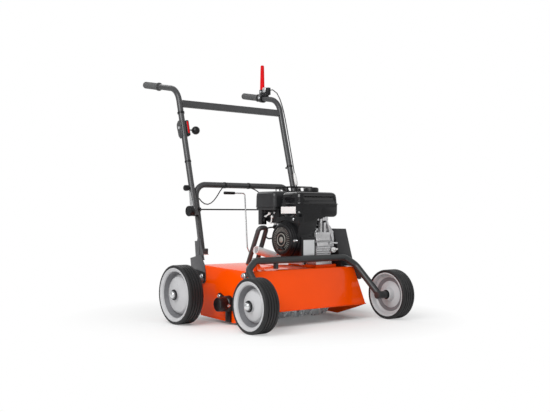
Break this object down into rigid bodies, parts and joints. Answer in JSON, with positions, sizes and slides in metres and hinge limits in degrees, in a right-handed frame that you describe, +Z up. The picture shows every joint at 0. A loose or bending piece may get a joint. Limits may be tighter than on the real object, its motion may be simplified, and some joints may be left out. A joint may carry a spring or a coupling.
{
  "type": "petrol lawn scarifier",
  "caption": "Walk-behind petrol lawn scarifier: orange steel deck with a bladed rotor, small engine, portal front axle, large ribbed wheels and a folding tube handle.",
  "frame": {"origin": "on the ground under the middle of the bounding box", "axes": "+X to the machine's left, -Y the way it drives, +Y to the operator, +Z up"},
  "size_m": [0.931, 1.0358, 1.16],
  "materials": {
    "orange_paint": "gloss orange powder coat",
    "grey_paint": "satin dark grey powder coat",
    "bracket_grey": "satin grey paint",
    "black_plastic": "matte black",
    "dark_plastic": "semi-gloss near-black",
    "rim_plastic": "light grey moulded",
    "tyre_rubber": "matt black rubber",
    "aluminium": "as cast",
    "steel": "machined",
    "zinc": "bright zinc plate",
    "red_plastic": "satin red",
    "black_steel": "matt black paint",
    "cable_sheath": "black sheath",
    "belt_rubber": "black belt"
  },
  "bodies": {
    "chassis": {"deck": "orange_paint", "bearing_left": "black_steel", "bearing_right": "black_steel", "crankcase": "aluminium", "cylinder": "aluminium", "blower_housing": "black_plastic", "recoil_cover": "black_plastic", "fuel_tank": "dark_plastic", "air_cleaner_cover": "dark_plastic", "air_cleaner_base": "dark_plastic", "carburetor": "aluminium", "muffler": "black_steel", "exhaust_pipe": "steel", "spark_plug_lead": "cable_sheath", "belt_guard": "dark_plastic", "engine_stay": "grey_paint", "lower_frame": "grey_paint", "handle_bracket_left": "bracket_grey", "handle_bracket_right": "bracket_grey", "tie_rod": "black_steel", "clutch_cable_lower": "cable_sheath", "throttle_cable_lower": "cable_sheath", "drive_belt": "belt_rubber"},
    "portal": {"front_axle": "grey_paint"},
    "rotor": {"rotor_shaft": "steel", "knife_pack": "steel", "driven_pulley": "steel"},
    "crank": {"crankshaft": "steel", "flywheel": "aluminium", "drive_pulley": "steel"},
    "idler": {"idler_arm": "zinc"},
    "idler_wheel": {"idler_pulley": "steel"},
    "flap": {"rear_flap": "black_plastic"},
    "depth_lever": {"depth_lever": "zinc"},
    "depth_link": {"depth_link": "zinc"},
    "handle": {"upper_handle": "grey_paint", "grip_left": "black_plastic", "grip_right": "black_plastic", "clutch_bracket": "black_plastic", "throttle_housing": "black_plastic", "clutch_cable_upper": "cable_sheath", "throttle_cable_upper": "cable_sheath"},
    "clutch_lever": {"clutch_lever": "red_plastic"},
    "throttle_lever": {"throttle_lever": "black_plastic"},
    "throttle_arm": {"throttle_arm": "zinc"},
    "choke_lever": {"choke_lever": "zinc"},
    "fuel_cap": {"fuel_cap": "black_plastic"},
    "dipstick": {"dipstick": "zinc"},
    "starter_grip": {"starter_grip": "black_plastic"},
    "knob_left": {"lock_knob_left": "black_plastic"},
    "knob_right": {"lock_knob_right": "black_plastic"},
    "wheel_front_left": {"front_left_rim": "rim_plastic", "front_left_tyre": "tyre_rubber"},
    "wheel_front_right": {"front_right_rim": "rim_plastic", "front_right_tyre": "tyre_rubber"},
    "wheel_rear_left": {"rear_left_rim": "rim_plastic", "rear_left_tyre": "tyre_rubber"},
    "wheel_rear_right": {"rear_right_rim": "rim_plastic", "rear_right_tyre": "tyre_rubber"}
  },
  "joints": [
    {"name": "front_left_wheel_spin", "type": "hinge", "parent": "portal", "child": "wheel_front_left", "pos_m": [0.356, -0.41539, 0.1025], "axis": [1, 0, 0], "continuous": true},
    {"name": "front_right_wheel_spin", "type": "hinge", "parent": "portal", "child": "wheel_front_right", "pos_m": [-0.356, -0.41539, 0.1025], "axis": [1, 0, 0], "continuous": true},
    {"name": "rear_left_wheel_spin", "type": "hinge", "parent": "chassis", "child": "wheel_rear_left", "pos_m": [0.419, -0.01039, 0.117], "axis": [1, 0, 0], "continuous": true},
    {"name": "rear_right_wheel_spin", "type": "hinge", "parent": "chassis", "child": "wheel_rear_right", "pos_m": [-0.419, -0.01039, 0.117], "axis": [1, 0, 0], "continuous": true},
    {"name": "portal_tilt", "type": "hinge", "parent": "chassis", "child": "portal", "pos_m": [0, -0.24539, 0.198], "axis": [1, 0, 0], "range_deg": [0, 12]},
    {"name": "depth_link_slide", "type": "slide", "parent": "chassis", "child": "depth_link", "axis": [0, -1, 0], "range_m": [0, 0.008]},
    {"name": "depth_lever_turn", "type": "hinge", "parent": "chassis", "child": "depth_lever", "pos_m": [0, 0.08461, 0.2065], "axis": [1, 0, 0], "range_deg": [0, 15]},
    {"name": "rotor_spin", "type": "hinge", "parent": "chassis", "child": "rotor", "pos_m": [0, -0.14339, 0.082], "axis": [1, 0, 0], "continuous": true},
    {"name": "crank_spin", "type": "hinge", "parent": "chassis", "child": "crank", "pos_m": [0, -0.16739, 0.33], "axis": [1, 0, 0], "continuous": true},
    {"name": "handle_fold", "type": "hinge", "parent": "chassis", "child": "handle", "pos_m": [0, 0.10161, 0.455], "axis": [1, 0, 0], "range_deg": [0, 105]},
    {"name": "clutch_lever_turn", "type": "hinge", "parent": "handle", "child": "clutch_lever", "pos_m": [0.28, 0.36261, 1.03], "axis": [-1, 0, 0], "range_deg": [0, 70], "stiffness_Nm_per_rad": 1.5, "springref_deg": -5.73},
    {"name": "idler_arm_turn", "type": "hinge", "parent": "chassis", "child": "idler", "pos_m": [0.2385, -0.08539, 0.247], "axis": [1, 0, 0], "range_deg": [0, 11.5]},
    {"name": "idler_pulley_spin", "type": "hinge", "parent": "idler", "child": "idler_wheel", "pos_m": [0.255, -0.10289, 0.2915], "axis": [1, 0, 0], "continuous": true},
    {"name": "throttle_lever_turn", "type": "hinge", "parent": "handle", "child": "throttle_lever", "pos_m": [-0.2592, 0.19224, 0.797], "axis": [0, 0.9666, -0.2562], "range_deg": [-25, 25]},
    {"name": "throttle_arm_turn", "type": "hinge", "parent": "chassis", "child": "throttle_arm", "pos_m": [-0.0033, -0.07339, 0.424], "axis": [1, 0, 0], "range_deg": [-26, 26]},
    {"name": "choke_lever_turn", "type": "hinge", "parent": "chassis", "child": "choke_lever", "pos_m": [-0.0033, -0.05439, 0.438], "axis": [1, 0, 0], "range_deg": [0, 40]},
    {"name": "fuel_cap_turn", "type": "hinge", "parent": "chassis", "child": "fuel_cap", "pos_m": [0.108, -0.19339, 0.5333], "axis": [0, 0, 1], "range_deg": [0, 90]},
    {"name": "dipstick_turn", "type": "hinge", "parent": "chassis", "child": "dipstick", "pos_m": [0.178, -0.25339, 0.286], "axis": [0, -1, 0], "range_deg": [0, 180]},
    {"name": "rear_flap_swing", "type": "hinge", "parent": "chassis", "child": "flap", "pos_m": [0, 0.02461, 0.212], "axis": [1, 0, 0], "range_deg": [0, 35]},
    {"name": "lock_knob_left_turn", "type": "hinge", "parent": "handle", "child": "knob_left", "pos_m": [0.2935, 0.12546, 0.545], "axis": [1, 0, 0], "range_deg": [0, 180]},
    {"name": "lock_knob_right_turn", "type": "hinge", "parent": "handle", "child": "knob_right", "pos_m": [-0.2935, 0.12546, 0.545], "axis": [-1, 0, 0], "range_deg": [0, 180]},
    {"name": "starter_pull", "type": "slide", "parent": "chassis", "child": "starter_grip", "axis": [-1, 0, 0], "range_m": [0, 0.3], "stiffness_N_per_m": 60, "springref_m": -0.05}
  ],
  "couplings": [
    {"joint": "depth_link_slide", "follows": "portal_tilt", "m_per_rad": 0.0365},
    {"joint": "depth_lever_turn", "follows": "portal_tilt", "ratio": 1.2167},
    {"joint": "crank_spin", "follows": "rotor_spin", "ratio": 1.2778},
    {"joint": "idler_arm_turn", "follows": "clutch_lever_turn", "ratio": 0.16},
    {"joint": "throttle_arm_turn", "follows": "throttle_lever_turn", "ratio": 1}
  ]
}
